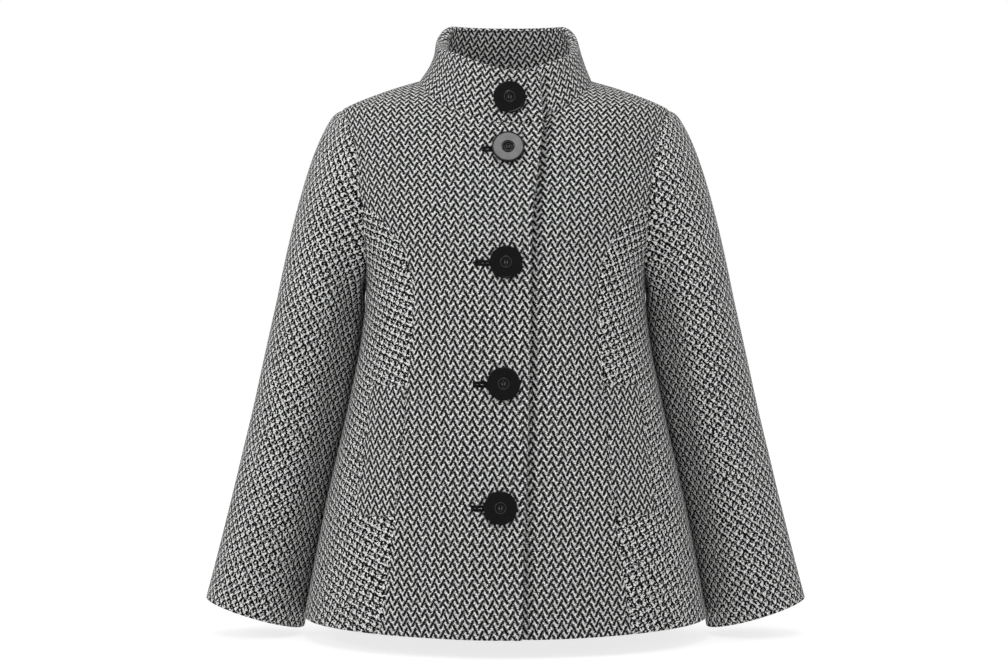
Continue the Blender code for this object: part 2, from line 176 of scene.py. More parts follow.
def climb(angle, height):
    """How far up the cloth a point lies from the hem, read between the rows and columns of a table."""
    inside = 1.001
    i = (height - HEM) / (CLIMB_HEIGHTS[1] - CLIMB_HEIGHTS[0])
    j = (angle - CLIMB_ANGLES[0]) / (CLIMB_ANGLES[1] - CLIMB_ANGLES[0])
    i = np.clip(i, 0, len(CLIMB_HEIGHTS) - inside)
    j = np.clip(j, 0, len(CLIMB_ANGLES) - inside)
    row, col = i.astype(int), j.astype(int)
    low, high = (CLIMBED[r, col] * (1 - j + col) + CLIMBED[r, col + 1] * (j - col) for r in (row, row + 1))
    return low + (high - low) * (i - row)


EDGE_STEPS = np.array([0.0, 0.5, 1.2, 2.4, 4.5])
FULL_STEPS_FROM = 40.0
FINE_STEPS = 240


def close_at_ends(length, count):
    """Places along a length that lie closer together near both ends, where the cloth turns over."""
    near = EDGE_STEPS * min(1, length / FULL_STEPS_FROM)
    inside = np.linspace(near[-1], length - near[-1], count)
    return np.concatenate([near[:-1], inside, length - near[-2::-1]])


def panel_rows(heights, starts, ends, count):
    """Rows of angles across a panel, and how far each place lies from its row's start and from its end."""
    rows = []
    for height, start, end in zip(heights, starts, ends):
        fine = np.linspace(start, end, FINE_STEPS)
        length = lengths(body_point(1, fine, height))
        place = close_at_ends(length[-1] - SEAM, count)
        rows.append((np.interp(place + SEAM / 2, length, fine), place, place[-1] - place))
    return (np.array(part) for part in zip(*rows))


def grown(distance, full):
    """A share that grows from 0 to 1 over a distance."""
    return np.clip(distance / full, 0, 1)


def bell(distance, width):
    """1 on a line, fading away to both sides of it."""
    return np.exp(-((distance / width) ** 2))


def lift_hem(level, angles):
    return level + grown(HEM + HEM_FADE - level, HEM_FADE) * HEM_SIDE_RISE * np.cos(angles) ** 2


SEAM_DEPTH = 0.85
SEAM_WIDTH = 3.2
SEAM_HOLDS = 12.0
ARMHOLE_FLUSH_BELOW = 12.0
ARMHOLE_FLUSH_ABOVE = 8.0


def seam_dip(distance):
    """How far the outside sinks towards a pressed seam."""
    return -SEAM_DEPTH * bell(distance, SEAM_WIDTH)


def held(distance):
    """How much of its own relief the cloth keeps near a seam, which holds it to the form."""
    return 1 - bell(distance, SEAM_HOLDS)


def off_armhole(level, lowest):
    """1 along seams below and above the armhole, 0 along it, where the sleeve's cloth lies flush."""
    below = grown(lowest - level, ARMHOLE_FLUSH_BELOW)
    return np.maximum(below, grown(level - SHOULDER_END, ARMHOLE_FLUSH_ABOVE))


def folded_edge(distance, radius=2.0):
    """How far the outside sinks towards an edge that is folded over."""
    near = np.clip(radius - distance, 0, radius)
    return np.sqrt(radius**2 - near**2) - radius


Sway = namedtuple("Sway", "across up turn share")
SWAYS = (Sway(43, 171, 0.6, 1.0), Sway(29, -117, 2.1, 0.8), Sway(71, 37, 4.0, 0.7))
SWAY_RISE = 0.22
SWAY_SINK = 2.2
Crease = namedtuple("Crease", "across up to_across to_up rise width")
CREASE_END = 0.03
CREASE_FADE = 0.8


def relief(across, up, creases):
    """Soft troughs and ridges along given lines on the cloth, over a slow and uneven waviness."""
    sway = sum(s.share * np.sin(across / s.across + up / s.up + s.turn) for s in SWAYS)
    rise = SWAY_RISE * (sway - SWAY_SINK)
    for crease in creases:
        start = np.array([crease.across, crease.up])
        run = np.array([crease.to_across, crease.to_up]) - start
        away = np.stack([across, up], -1) - start
        along = grown(away @ run, run @ run)
        distance = np.linalg.norm(away - along[..., None] * run, axis=-1)
        fade = np.sin(np.pi * np.clip(along, CREASE_END, 1 - CREASE_END)) ** CREASE_FADE
        rise = rise + crease.rise * fade * bell(distance, crease.width)
    return rise


def raised(place, normal, rise):
    """Points moved out, or in, along the way that the cloth faces."""
    return place + rise[..., None] * normal


def sew(name, outer, inner, grain, cloth, closed=False):
    """A closed wall of cloth between two grids; its grain, across and up in millimetres, is a UV map."""
    rows, columns = outer.shape[:2]
    vertex = np.arange(2 * rows * columns).reshape(2, rows, columns)
    if closed:
        vertex = np.concatenate([vertex, vertex[..., :1]], 2)
    place = np.arange(vertex[0].size).reshape(rows, -1)
    corners = np.stack([vertex, [place, place]], -1)

    def quads(sheet, turn):
        ring = [sheet[:-1, :-1], sheet[:-1, 1:], sheet[1:, 1:], sheet[1:, :-1]]
        return np.stack(ring[::turn], 2).reshape(-1, 4, 2)

    walls = [quads(corners[skin], turn) for skin, turn in ((0, 1), (1, -1))]
    walls += [quads(corners[:, row].swapaxes(0, 1), turn) for row, turn in ((0, 1), (-1, -1))]
    walls += [quads(corners[:, :, col], turn) for col, turn in ((0, 1), (-1, -1)) if not closed]
    faces, places = np.moveaxis(np.concatenate(walls), -1, 0)
    points = np.concatenate([outer.reshape(-1, 3), inner.reshape(-1, 3)]) * MM
    mesh = bpy.data.meshes.new(name)
    mesh.from_pydata(points.tolist(), [], faces.tolist())
    mesh.uv_layers.new(name="grain").uv.foreach_set("vector", grain.reshape(-1, 2)[places.ravel()].ravel())
    bm = bmesh.new()
    bm.from_mesh(mesh)
    bmesh.ops.recalc_face_normals(bm, faces=bm.faces)
    bm.to_mesh(mesh)
    bm.free()
    return dress(name, mesh, cloth)


def hang(name, data):
    """Adds an object to the scene."""
    thing = bpy.data.objects.new(name, data)
    bpy.context.scene.collection.objects.link(thing)
    return thing


SHARP_FROM = np.radians(50)


def dress(name, mesh, material):
    """Turns a mesh into a finished piece of the coat, which has one body."""
    mesh.shade_smooth()
    mesh.set_sharp_from_angle(angle=SHARP_FROM)
    mesh.materials.clear()
    mesh.materials.append(material)
    piece = hang(name, mesh)
    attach(piece, "root")
    return piece


def linear(code):
    """An sRGB hex value as the linear colour that shaders use."""
    part = np.array([int(code[k : k + 2], 16) for k in (1, 3, 5)]) / 255
    part = np.where(part <= 0.04045, part / 12.92, ((part + 0.055) / 1.055) ** 2.4)
    return (*part.tolist(), 1.0)


def feed(tree, node, sources):
    """Fills a node's sockets, given by order or by name, with links or with constants."""
    for socket, source in sources.items():
        if isinstance(source, bpy.types.NodeSocket):
            tree.links.new(source, node.inputs[socket])
        else:
            node.inputs[socket].default_value = source


def put(tree, kind, *sources, to=None, out=0, **settings):
    """Adds one node with its settings, fills its sockets and returns one output."""
    node = tree.nodes.new(kind)
    for key, value in settings.items():
        setattr(node, key, value)
    feed(tree, node, dict(zip(to or range(len(sources)), sources)))
    return node.outputs[out] if len(node.outputs) else None


def reckon(tree, operation, *sources):
    return put(tree, "ShaderNodeMath", *sources, operation=operation)


def reckon_way(tree, operation, *sources, **how):
    return put(tree, "ShaderNodeVectorMath", *sources, operation=operation, **how)


def noise(tree, place, scale, detail, **how):
    size = ("Vector", "Scale", "Detail")
    return put(tree, "ShaderNodeTexNoise", place, scale, detail, to=size, **how)


def mix_colours(tree, share, first, second):
    """Goes from one colour to another; each is a link or a hex value."""
    ends = [linear(end) if isinstance(end, str) else end for end in (first, second)]
    return put(tree, "ShaderNodeMix", share, *ends, to=(0, 6, 7), out=2, data_type="RGBA")


def bumps(tree, height, strength, distance):
    return put(tree, "ShaderNodeBump", strength, distance, height, to=("Strength", "Distance", "Height"))


def new_material(name):
    material = bpy.data.materials.new(name)
    material.use_nodes = True
    return material, material.node_tree, material.node_tree.nodes["Principled BSDF"]


# Wool coating, woven in a broken chevron of black floats on off-white yarn and lightly fulled: soft, hairy
# edges to every float, no shine, and a faint relief of the yarns. The repeat is 10.6 by 10.9 mm.
Float = namedtuple("Float", "across up half_across half_up half_thickness")
CHEVRON = (10.6, 10.9)
CHEVRON_FLOATS = (
    Float(-0.8, 1.5, 1.45, -2.7, 1.5),
    Float(0.8, -1.5, 1.45, -2.7, 1.5),
    Float(-4.8, 5.3, -2.05, -3.95, 1.5),
)
FLOATS_MEET = 0.4
DRIFTS_IN_MM = 0.06
TUFTS_IN_MM = 0.8
FIBRES_IN_MM = 1.7
NOISE_GAIN = 8.0
YARN_EDGE = 1.1
YARN_CROWN = 2.0
FIBRES_IN_TUFT = 0.4
TUFT_RANGE = (0.34, 0.66)
FIBRE_RANGE = (0.2, 0.8)
WOOL_ROUGHNESS = (0.86, 0.98)
FIBRE_HEIGHT = 0.5
YARN_HEIGHT = 0.0004
YARN_BUMP = 0.35


def chevron_yarns(tree, place):
    """How far inside the off-white yarn, in millimetres, a place on the cloth lies."""
    outside = None
    half = (CHEVRON[0] / 2, CHEVRON[1] / 2, 0.0)
    for f in CHEVRON_FLOATS:
        length = np.hypot(f.half_across, f.half_up)
        way = (f.half_across / length, f.half_up / length, 0.0)
        spot = reckon_way(tree, "SUBTRACT", place, (f.across, f.up, 0.0))
        spot = reckon_way(tree, "WRAP", spot, half, tuple(-h for h in half))
        along = reckon_way(tree, "DOT_PRODUCT", spot, way, out=1)
        along = put(tree, "ShaderNodeClamp", along, -length, length)
        foot = reckon_way(tree, "SCALE", way, along, to=(0, 3))
        away = reckon_way(tree, "DISTANCE", spot, foot, out=1)
        away = reckon(tree, "SUBTRACT", away, f.half_thickness)
        outside = away if outside is None else reckon(tree, "SMOOTH_MIN", outside, away, FLOATS_MEET)
    return outside


def wool(name, yarns, wander, raggedness):
    """The tweed's material: yarns that wander a little and have ragged edges, both in millimetres."""
    material, tree, shader = new_material(name)
    grain = put(tree, "ShaderNodeUVMap", uv_map="grain")
    drift = noise(tree, grain, DRIFTS_IN_MM, detail=1.0, out=1, noise_dimensions="2D")
    drift = reckon_way(tree, "SUBTRACT", drift, (0.5, 0.5, 0.5))
    sway = (NOISE_GAIN * wander, NOISE_GAIN * wander, 0.0)
    place = reckon_way(tree, "MULTIPLY_ADD", drift, sway, grain)
    inside = yarns(tree, place)
    tuft = noise(tree, grain, TUFTS_IN_MM, detail=2.0, noise_dimensions="2D")
    fibre = noise(tree, grain, FIBRES_IN_MM, detail=2.0, noise_dimensions="2D")
    ragged = NOISE_GAIN * raggedness
    ragged = reckon(tree, "MULTIPLY_ADD", tuft, ragged, -ragged / 2)
    ragged = reckon(tree, "ADD", ragged, inside)
    light = put(tree, "ShaderNodeMapRange", ragged, -YARN_EDGE, YARN_EDGE, interpolation_type="SMOOTHSTEP")
    light = reckon(tree, "POWER", light, YARN_CROWN)
    bright = put(tree, "ShaderNodeMix", FIBRES_IN_TUFT, tuft, fibre, to=(0, 2, 3))
    bright = put(tree, "ShaderNodeMapRange", bright, *TUFT_RANGE)
    white = mix_colours(tree, bright, "#757574", "#e8e8e7")
    black = mix_colours(tree, fibre, "#030303", "#111111")
    height = reckon(tree, "MULTIPLY_ADD", fibre, FIBRE_HEIGHT, light)
    feed(tree, shader, {
        "Base Color": mix_colours(tree, light, black, white),
        "Roughness": put(tree, "ShaderNodeMapRange", fibre, *FIBRE_RANGE, *WOOL_ROUGHNESS),
        "Normal": bumps(tree, height, YARN_BUMP, YARN_HEIGHT),
        "Specular IOR Level": 0.03,
        "Sheen Weight": 0.008,
        "Sheen Roughness": 0.6,
    })
    return material


chevron_tweed = wool("Wool chevron tweed, woven and fulled", chevron_yarns, wander=0.25, raggedness=0.35)

SKIRT_ROWS = 96
ARMHOLE_ROWS = 41
CHEST_ROWS = 17
SHOULDER_ROWS = 14
BACK_COLUMNS = 74
SKIRT_LEVELS = np.linspace(HEM + EDGE_STEPS[-1], UNDERARM, SKIRT_ROWS)
ARMHOLE_LEVELS = UNDERARM + (NECK_FRONT - UNDERARM) * (1 - np.cos(np.linspace(0, np.pi / 2, ARMHOLE_ROWS)))
ARMHOLE_LEVELS[np.argmin(np.abs(ARMHOLE_LEVELS - PANEL_NOTCH))] = PANEL_NOTCH
ARMHOLE_LEVELS[-1] = NECK_FRONT
CHEST_LEVELS = NECK_FRONT + (SHOULDER_END - NECK_FRONT) * (1 - np.cos(np.linspace(0, np.pi, CHEST_ROWS))) / 2
SHOULDER_LEVELS = np.linspace(SHOULDER_END, NECK_SIDE, SHOULDER_ROWS)[1:]
BELOW_SHOULDER = [HEM + EDGE_STEPS[:-1], SKIRT_LEVELS, ARMHOLE_LEVELS[1:], CHEST_LEVELS[1:]]
BELOW_SHOULDER = np.concatenate(BELOW_SHOULDER)
LEVELS = np.concatenate([BELOW_SHOULDER, SHOULDER_LEVELS])


def back_neck_height(angle):
    return NECK_SIDE + (NECK_BACK - NECK_SIDE) * np.sin(angle) ** 2


def hem_wall(level):
    """The wall's thickness: cloth, and near the hem the turned-up allowance as well."""
    return CLOTH + HEM_EXTRA * grown(HEM + HEM_TURN_UP - level, TURN_UP_FADE)


BACK_CREASES = (
    Crease(-96, 40, -70, 330, -2.6, 26),
    Crease(88, 20, 74, 280, -2.2, 24),
    Crease(-14, 90, -4, 300, -1.2, 30),
    Crease(-210, 30, -170, 210, -1.8, 22),
    Crease(205, 30, 172, 190, -2.0, 24),
    Crease(-120, 500, -40, 560, -1.2, 16),
    Crease(122, 506, 60, 568, -1.4, 14),
)
CENTRE_BACK = -np.pi / 2
PAST_CENTRE = SEAM / 400
starts = [armhole_angle(level, -1) for level in LEVELS]
ends = [CENTRE_BACK - PAST_CENTRE] * len(LEVELS)
angles, from_edge, from_centre = panel_rows(LEVELS, starts, ends, BACK_COLUMNS)
angles[:, -1] = CENTRE_BACK
below = len(BELOW_SHOULDER)
neck = back_neck_height(angles[below:])
share = (SHOULDER_LEVELS[:, None] - SHOULDER_END) / (NECK_SIDE - SHOULDER_END)
levels = lift_hem(BELOW_SHOULDER[:, None], angles[:below])
levels = np.concatenate([levels, SHOULDER_END + share * (neck - SHOULDER_END)])
from_neck = (NECK_SIDE - levels) * SHOULDER_RUN
up = climb(angles, levels)
halves = []
for side in (1, -1):
    place = body_point(side, angles, levels)
    normal = body_normal(side, angles, levels)
    across = -side * from_centre
    lie = relief(across, up, BACK_CREASES) * held(from_edge) * held(from_neck)
    skin = lie + seam_dip(from_edge) * off_armhole(levels, UNDERARM) + NECK_SEAM * seam_dip(from_neck)
    skin = skin + folded_edge(levels - levels[0])
    inner = raised(place, normal, lie - hem_wall(levels))
    halves.append((raised(place, normal, skin), inner, np.stack([across, up], -1)))
outer, inner, grain = (np.concatenate([one, other[:, -2::-1]], 1) for one, other in zip(*halves))
back = sew("back_cloth", outer, inner, grain, chevron_tweed)
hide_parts("back")


# Side fronts: narrow cut pieces between the princess seams and the side seams, of the same cloth. Its grain
# leans forward at the foot. The cloth is drawn narrower, so its chevrons close up to dark squares in a
# lattice of light diagonals.
SIDES = ((-1, "right"), (1, "left"))
Line = namedtuple("Line", "height reach")
PRINCESS_SEAM = (
    Line(-622, 137),
    Line(-490, 119.5),
    Line(-350, 107),
    Line(-270, 102),
    Line(-235, 103),
    Line(-205, 112),
    Line(-180, 127),
    Line(-160, 147),
    Line(-150, 160),
)
(princess_seam,) = curves(PRINCESS_SEAM)
SIDE_COLUMNS = 36
SIDE_GRAIN_LEAN = 20.0
SIDE_GRAIN_DRAWN = 0.76
DRAWN = (10.8, 11.4)
DRAWN_SHARE = -0.42
Wave = namedtuple("Wave", "rising falling share turn")
DRAWN_WAVES = (
    Wave(1, 0, 0.92, 0),
    Wave(0, 1, 0.78, 0),
    Wave(2, 0, 0.72, 60),
    Wave(0, 2, 0.72, -52),
    Wave(1, 1, 0.75, -25),
    Wave(1, -1, 0.1, -75),
    Wave(2, 1, 0.3, 150),
    Wave(1, 2, 0.28, -172),
)
DRAWN_BREAKS = 4.4
DRAWN_BREAKS_APART = 2.0


def drawn_yarns(tree, place):
    """How far inside the off-white yarn a place lies: two families of diagonals, and waves between them."""
    breaks = noise(tree, place, 1 / DRAWN_BREAKS_APART, detail=0.0, noise_dimensions="2D")
    inside = reckon(tree, "MULTIPLY_ADD", breaks, DRAWN_BREAKS, DRAWN_SHARE - DRAWN_BREAKS / 2)
    for wave in DRAWN_WAVES:
        across = (wave.rising + wave.falling) * 2 * np.pi / DRAWN[0]
        up = (wave.rising - wave.falling) * 2 * np.pi / DRAWN[1]
        turn = reckon_way(tree, "DOT_PRODUCT", place, (across, up, 0.0), out=1)
        turn = reckon(tree, "ADD", turn, np.radians(wave.turn))
        inside = reckon(tree, "MULTIPLY_ADD", reckon(tree, "COSINE", turn), wave.share, inside)
    return inside


drawn_name = "Wool chevron tweed drawn narrower, woven and fulled"
drawn_tweed = wool(drawn_name, drawn_yarns, wander=0.2, raggedness=0.9)


def angle_at_reach(height, reach):
    """The angle, on the front, at which the body is this far from the middle in front view."""
    found = body_point(1, FRONT_SWEEP, height)[:, 0]
    return np.interp(-reach, -found, FRONT_SWEEP)


def princess_angle(height):
    return angle_at_reach(height, princess_seam(height))


def side_end(height):
    return armhole_angle(height, 1)


def from_middle(heights, turns):
    """How far round the body the places of some rows lie from the middle of the front."""
    rows = []
    for height, row in zip(heights, turns):
        length = lengths(body_point(1, SWEEP, height))
        rows.append(np.interp(np.pi / 2, SWEEP, length) - np.interp(row, SWEEP, length))
    return np.array(rows)


def turned_grain(across, up, degrees):
    turn = np.radians(degrees)
    along = across * np.cos(turn) - up * np.sin(turn)
    return np.stack([along, up * np.cos(turn) + across * np.sin(turn)], -1)


SIDE_CREASES = {
    -1: (
        Crease(205, 30, 178, 290, -1.6, 22),
        Crease(262, 10, 226, 170, -1.4, 20),
    ),
    1: (
        Crease(212, 40, 186, 300, -1.7, 20),
        Crease(250, 10, 232, 190, -1.2, 22),
    ),
}


def side_front_grid(side, heights, start, end, count):
    """Places on a side front and how they face, with their levels, distances and the cloth's own lie."""
    starts, ends = ([edge(h) for h in heights] for edge in (start, end))
    turns, begin, finish = panel_rows(heights, starts, ends, count)
    level = lift_hem(heights[:, None], turns)
    seam = from_middle(heights, turns)
    up = climb(turns, level)
    first, last = (from_middle(heights, [[edge(h)] for h in heights]) for edge in (princess_angle, side_end))
    lie = relief(seam, up, SIDE_CREASES[side]) * held(seam - first) * held(last - seam)
    place, normal = body_point(side, turns, level), body_normal(side, turns, level)
    return place, normal, level, begin, finish, seam, up, lie


for side, word in SIDES:
    heights = LEVELS[LEVELS <= PANEL_NOTCH]
    grid = side_front_grid(side, heights, princess_angle, side_end, SIDE_COLUMNS)
    place, normal, level, begin, finish, seam, up, lie = grid
    skin = lie + seam_dip(begin) + seam_dip(finish) * off_armhole(level, UNDERARM)
    skin = skin + folded_edge(level - level[0])
    outer = raised(place, normal, skin)
    inner = raised(place, normal, lie - hem_wall(level))
    grain = turned_grain(SIDE_GRAIN_DRAWN * seam, up, SIDE_GRAIN_LEAN) * (side, 1)
    piece = sew(f"side_front_{word}_cloth", outer, inner, grain, drawn_tweed)
    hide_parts(f"side_front_{word}")


# Centre fronts: the two cut pieces that meet in the middle, the wearer's right one lapped over the left.
# Their free edges are folded back as facings, and the chevrons run upright down the front.
FRONT_EDGE = (
    Line(-622, 17.5),
    Line(-300, 26.5),
    Line(-170, 29.5),
    Line(-110, 36),
    Line(-64, 42),
)
(front_edge,) = curves(FRONT_EDGE)
FRONT_COLUMNS = 52
FRONT_FOLD = 3.0
UNDERLAP = 30.0
NECK_HALF_WIDTH = 98.0
NECK_ROUNDNESS = 1.6
LAP_RISE = 4.4
LAP_STARTS = 78.0
LAP_FULL = 42.0
LAP_CURL = 2.2
LAP_CURL_WIDTH = 9.0
LAP_PRESSED = 5.0
LAP_PRESSED_CHEST = 8.5
LAP_PRESSED_FROM = -260.0
LAP_PRESSED_TO = -140.0
LAP_SHADE = 8.0
HEM_EXTRA_SHARE = {-1: 0.3, 1: 1.0}
CHEST_EASED = 380.0
CHEST_EASE = 0.14
CHEST_EASE_GROWS = 60.0


def ramp(value, start, end):
    return eased(grown(value - start, end - start), 0, 1, 0, 0)


def lapped_point(side, angle, height):
    """The body's outside, with the wearer's right front lifted where it lies over the left one."""
    point = body_point(side, angle, height)
    if side > 0:
        return point
    lift = LAP_RISE * ramp(point[..., 0], -LAP_STARTS, -LAP_FULL) * (np.sin(angle) > 0)
    return raised(point, body_normal(side, angle, height), lift)


def neck_reach(height):
    """Half the width of the front neckline at a height."""
    fall = grown(NECK_SIDE - height, NECK_SIDE - NECK_FRONT)
    return NECK_HALF_WIDTH * (1 - fall**NECK_ROUNDNESS) ** (1 / NECK_ROUNDNESS)


def front_start(side, height):
    """The angle where a centre front begins: at its free edge, or higher up at the neckline."""
    if height > NECK_FRONT:
        return angle_at_reach(height, neck_reach(height))
    return angle_at_reach(height, -front_edge(height) if side < 0 else -UNDERLAP)


def front_end(height):
    return princess_angle(height) if height <= PANEL_NOTCH else side_end(height)


FRONT_CREASES = {
    -1: (
        Crease(-98, 30, -84, 240, -1.3, 20),
        Crease(-60, 380, -96, 470, -0.9, 18),
        Crease(-34, 470, -110, 540, -0.8, 14),
    ),
    1: (
        Crease(96, 10, 82, 210, -1.4, 22),
        Crease(66, 372, 98, 462, -1.0, 16),
        Crease(44, 476, 112, 548, -0.7, 14),
    ),
}


def front_lie(side, turns, heights):
    """Where a front's cloth lies: along its grain, and how far it sinks below the plain form."""
    across = side * from_middle(heights, turns)
    up = climb(turns, heights[:, None])
    return across, up, relief(across, up, FRONT_CREASES[side])


for side, word in SIDES:
    starts = [front_start(side, h) for h in LEVELS]
    turns, begin, finish = panel_rows(LEVELS, starts, [front_end(h) for h in LEVELS], FRONT_COLUMNS)
    across, up, lie = front_lie(side, turns, LEVELS)
    level = lift_hem(LEVELS[:, None], turns)
    place = lapped_point(side, turns, level)
    normal = body_normal(side, turns, level)
    free = level <= NECK_FRONT
    lie = lie * held(begin) * held(finish)
    if side < 0:
        lie = lie + LAP_CURL * bell(begin, LAP_CURL_WIDTH) * free
    else:
        past = np.clip(place[..., 0] - front_edge(level), 0, None)
        chest = ramp(level, LAP_PRESSED_FROM, LAP_PRESSED_TO)
        lie = lie - (LAP_PRESSED + (LAP_PRESSED_CHEST - LAP_PRESSED) * chest) * bell(past, LAP_SHADE)
    skin = lie + np.where(free, folded_edge(begin, FRONT_FOLD), NECK_SEAM * seam_dip(begin))
    skin = skin + seam_dip(finish) * off_armhole(level, PANEL_NOTCH) + folded_edge(level - level[0])
    outer = raised(place, normal, skin)
    thick = CLOTH + (hem_wall(level) - CLOTH) * HEM_EXTRA_SHARE[side]
    inner = raised(place, normal, lie - thick)
    rise = np.clip(up - CHEST_EASED, 0, None)
    grain = np.stack([across, up + CHEST_EASE * rise**2 / (rise + CHEST_EASE_GROWS)], -1)
    piece = sew(f"front_{word}_cloth", outer, inner, grain, chevron_tweed)
    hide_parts(f"front_{word}")


# Sleeves: tubes of the same cloth, set into the armholes with a little ease at the head, closed by a seam
# under the arm and widening to a turned-up cuff. The grain follows the arm.
Sleeve = namedtuple("Sleeve", "height out back half_width half_depth tilt")
SLEEVE = (
    Sleeve(-617.5, 290.9, 24, 59.5, 55, 16.7),
    Sleeve(-554, 277.1, 26, 56.8, 57, 14),
    Sleeve(-462, 256.2, 26, 54.9, 60, 12.5),
    Sleeve(-370, 234.6, 23, 54.9, 63, 12),
    Sleeve(-262, 213.2, 10, 51.1, 66, 11),
)
sleeve_out, sleeve_back, sleeve_half_width, sleeve_half_depth, sleeve_tilt = curves(SLEEVE)
HEAD_FULLNESS = 0.48
HEAD_SPREAD = 0.25
HEAD_DROP = 0.4
HEAD_TUCK = 0.25
HEAD_STEPS = np.concatenate([[0, 0.004, 0.01, 0.02, 0.036], np.linspace(0.06, 1, 34)[:-1]])
HEAD_HOLDS = 20.0
ARM_COLUMNS = 112
ARM_ROWS = 92
EASE_SPACING = 17.0
EASE_HEIGHT = 0.45
EASE_FROM_SEAM = 9.0
EASE_FADE = 16.0
HEAD_PUFF = 1.0
HEAD_PUFF_FADE = 9.0
HEAD_PUFF_ROUND = 0.6
CUFF_TURN_UP = 40.0
SLEEVE_TWIST = {-1: 6.0, 1: 0.0}


def sleeve_ring(side, height, turns):
    """A sleeve's section: turn 0 is the outer side, and positive turns go by the front."""
    tilt = np.radians(sleeve_tilt(height))
    wide = oval(turns, sleeve_half_width(height), sleeve_half_depth(height), power=2.0)
    across = wide * np.cos(turns)
    out = side * (sleeve_out(height) + across * np.cos(tilt))
    return np.stack([out, sleeve_back(height) - wide * np.sin(turns), height + across * np.sin(tilt)], -1)


def grid_normals(points, closed=False):
    """Directions square to a grid of points, turned away from the middle of each row."""
    if closed:
        across = np.roll(points, -1, 1) - np.roll(points, 1, 1)
    else:
        across = np.gradient(points, axis=1)
    normal = unit(np.cross(np.gradient(points, axis=0), across))
    facing = np.sum(normal * (points - points.mean(1, keepdims=True)), -1).mean()
    return normal * np.sign(facing)


SLEEVE_CREASES = {
    -1: (
        Crease(138, 130, 138, 480, -5.0, 20),
        Crease(140, -60, 140, 250, -3.4, 20),
        Crease(185, 280, 185, 395, 1.7, 18),
        Crease(-185, 280, -185, 395, 1.7, 18),
        Crease(185, 5, 185, 225, 1.8, 18),
        Crease(-185, 5, -185, 225, 1.8, 18),
        Crease(150, 330, 60, 362, -2.6, 13),
        Crease(148, 262, 74, 300, -3.0, 12),
        Crease(-150, 300, -70, 338, -2.4, 14),
        Crease(-146, 226, -84, 250, -2.0, 12),
        Crease(62, 60, 40, 190, -1.4, 20),
        Crease(128, 402, 84, 452, -1.8, 12),
        Crease(-60, 430, -20, 490, -1.0, 16),
    ),
    1: (
        Crease(138, 140, 138, 470, -5.4, 20),
        Crease(140, -60, 140, 260, -3.6, 20),
        Crease(185, 280, 185, 395, 1.9, 18),
        Crease(-185, 280, -185, 395, 1.9, 18),
        Crease(185, 5, 185, 225, 1.8, 18),
        Crease(-185, 5, -185, 225, 1.8, 18),
        Crease(148, 342, 66, 366, -2.8, 12),
        Crease(150, 280, 70, 306, -2.4, 13),
        Crease(-150, 290, -78, 330, -2.6, 13),
        Crease(-144, 214, -90, 242, -2.0, 12),
        Crease(54, 50, 46, 210, -1.6, 18),
        Crease(130, 396, 90, 458, -1.6, 13),
        Crease(-56, 436, -26, 486, -1.0, 16),
    ),
}
